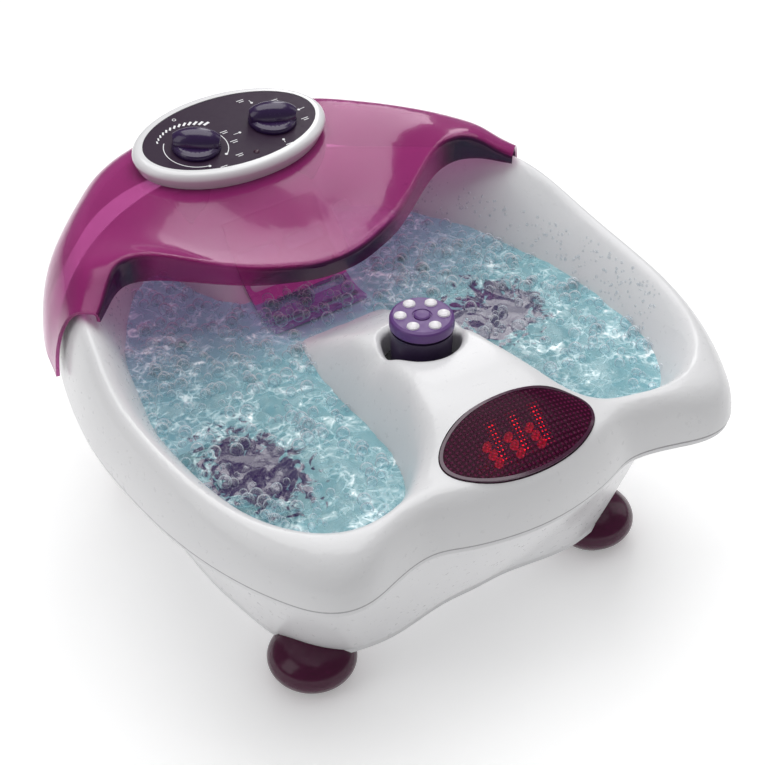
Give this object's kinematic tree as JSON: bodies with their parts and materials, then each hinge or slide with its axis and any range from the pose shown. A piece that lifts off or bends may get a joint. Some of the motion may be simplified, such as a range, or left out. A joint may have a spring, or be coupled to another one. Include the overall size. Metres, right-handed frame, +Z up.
{
  "type": "foot spa basin",
  "caption": "Foot massage basin with two wells, tinted splash guard, tilted control pod with two knobs, heat lamp window, lift-off massage head and spinning rollers.",
  "frame": {"origin": "on the floor under the middle of the overall box", "axes": "+X to the right, +Y from the heat lamp window towards the control pod, +Z up"},
  "size_m": [0.396, 0.4217, 0.2446],
  "materials": {
    "white_shell": "satin-gloss moulded",
    "seam_ring": "soft",
    "zinc_screw": "zinc plated",
    "tinted_guard": "clear magenta tint",
    "white_pod": "gloss moulded",
    "dark_panel": "printed panel",
    "lamp_lens": "clear tint",
    "violet_knob": "gloss",
    "steel_shaft": "ground",
    "black_plastic": "fine texture",
    "circuit_board": "solder mask",
    "lens_trim": "gloss",
    "plum_lens": "ribbed clear tint",
    "lamp_tray": "moulded",
    "red_lamps": "clear red",
    "lens_post": "gloss",
    "dark_violet": "satin",
    "violet_cap": "satin",
    "white_nodes": "gloss",
    "pink_grille": "satin",
    "steel_case": "drawn",
    "weight_metal": "turned",
    "black_rubber": "matte",
    "foot_plastic": "gloss",
    "clear_cradle": "satin",
    "violet_pads": "satin",
    "violet_rollers": "satin"
  },
  "bodies": {
    "basin": {"air_pump": "black_plastic", "base_shell": "white_shell", "bottom_plate": "white_shell", "casing_screws": "zinc_screw", "control_board": "circuit_board", "face_plate": "dark_panel", "foot_pads": "black_rubber", "front_left_foot": "foot_plastic", "front_right_foot": "foot_plastic", "guard_lugs": "tinted_guard", "head_socket": "black_plastic", "indicator_lamp": "lamp_lens", "ir_lamp_board": "circuit_board", "ir_lamps": "red_lamps", "ir_lens": "plum_lens", "lamp_tray": "lamp_tray", "left_air_hose": "black_rubber", "left_arch_axle": "steel_shaft", "left_bubble_plate": "violet_pads", "left_heating_element": "steel_case", "left_heel_axle": "steel_shaft", "left_roller_cradle": "clear_cradle", "left_toe_bar": "violet_pads", "lens_bezel": "lens_trim", "mains_inlet_gland": "black_rubber", "mode_switch_body": "black_plastic", "motor_bracket": "black_plastic", "motor_case": "steel_case", "pod_column": "white_pod", "pod_housing": "white_pod", "rear_left_foot": "foot_plastic", "rear_right_foot": "foot_plastic", "right_air_hose": "black_rubber", "right_arch_axle": "steel_shaft", "right_bubble_plate": "violet_pads", "right_heating_element": "steel_case", "right_heel_axle": "steel_shaft", "right_roller_cradle": "clear_cradle", "right_toe_bar": "violet_pads", "seam_gasket": "seam_ring", "slotted_grille": "pink_grille", "splash_guard": "tinted_guard", "thermostat_body": "black_plastic", "upper_tub": "white_shell", "window_posts": "lens_post"},
    "temperature_dial": {"temperature_knob": "violet_knob", "temperature_shaft": "steel_shaft"},
    "mode_dial": {"mode_knob": "violet_knob", "mode_shaft": "steel_shaft"},
    "massage_head": {"massage_head_body": "dark_violet", "massage_head_cap": "violet_cap", "massage_head_button": "violet_cap", "massage_head_nodes": "white_nodes"},
    "motor_rotor": {"motor_shaft": "steel_shaft", "eccentric_weight": "weight_metal"},
    "left_heel_wheel": {"left_heel_roller": "violet_rollers"},
    "left_arch_wheel": {"left_arch_roller": "violet_rollers"},
    "right_heel_wheel": {"right_heel_roller": "violet_rollers"},
    "right_arch_wheel": {"right_arch_roller": "violet_rollers"}
  },
  "joints": [
    {"name": "temperature_turn", "type": "hinge", "parent": "basin", "child": "temperature_dial", "pos_m": [-0.0305, 0.14102, 0.22848], "axis": [0, -0.0872, 0.9962], "range_deg": [-200, 70]},
    {"name": "mode_turn", "type": "hinge", "parent": "basin", "child": "mode_dial", "pos_m": [0.0305, 0.14102, 0.22848], "axis": [0, -0.0872, 0.9962], "range_deg": [-135, 135]},
    {"name": "head_lift", "type": "slide", "parent": "basin", "child": "massage_head", "axis": [0, 0, 1], "range_m": [0, 0.03]},
    {"name": "motor_spin", "type": "hinge", "parent": "basin", "child": "motor_rotor", "pos_m": [0, 0, 0.062], "axis": [0, 1, 0], "continuous": true},
    {"name": "left_heel_spin", "type": "hinge", "parent": "basin", "child": "left_heel_wheel", "pos_m": [-0.1, -0.027, 0.07], "axis": [1, 0, 0], "continuous": true},
    {"name": "left_arch_spin", "type": "hinge", "parent": "basin", "child": "left_arch_wheel", "pos_m": [-0.1, 0.011, 0.07], "axis": [1, 0, 0], "continuous": true},
    {"name": "right_heel_spin", "type": "hinge", "parent": "basin", "child": "right_heel_wheel", "pos_m": [0.1, -0.027, 0.07], "axis": [1, 0, 0], "continuous": true},
    {"name": "right_arch_spin", "type": "hinge", "parent": "basin", "child": "right_arch_wheel", "pos_m": [0.1, 0.011, 0.07], "axis": [1, 0, 0], "continuous": true}
  ]
}
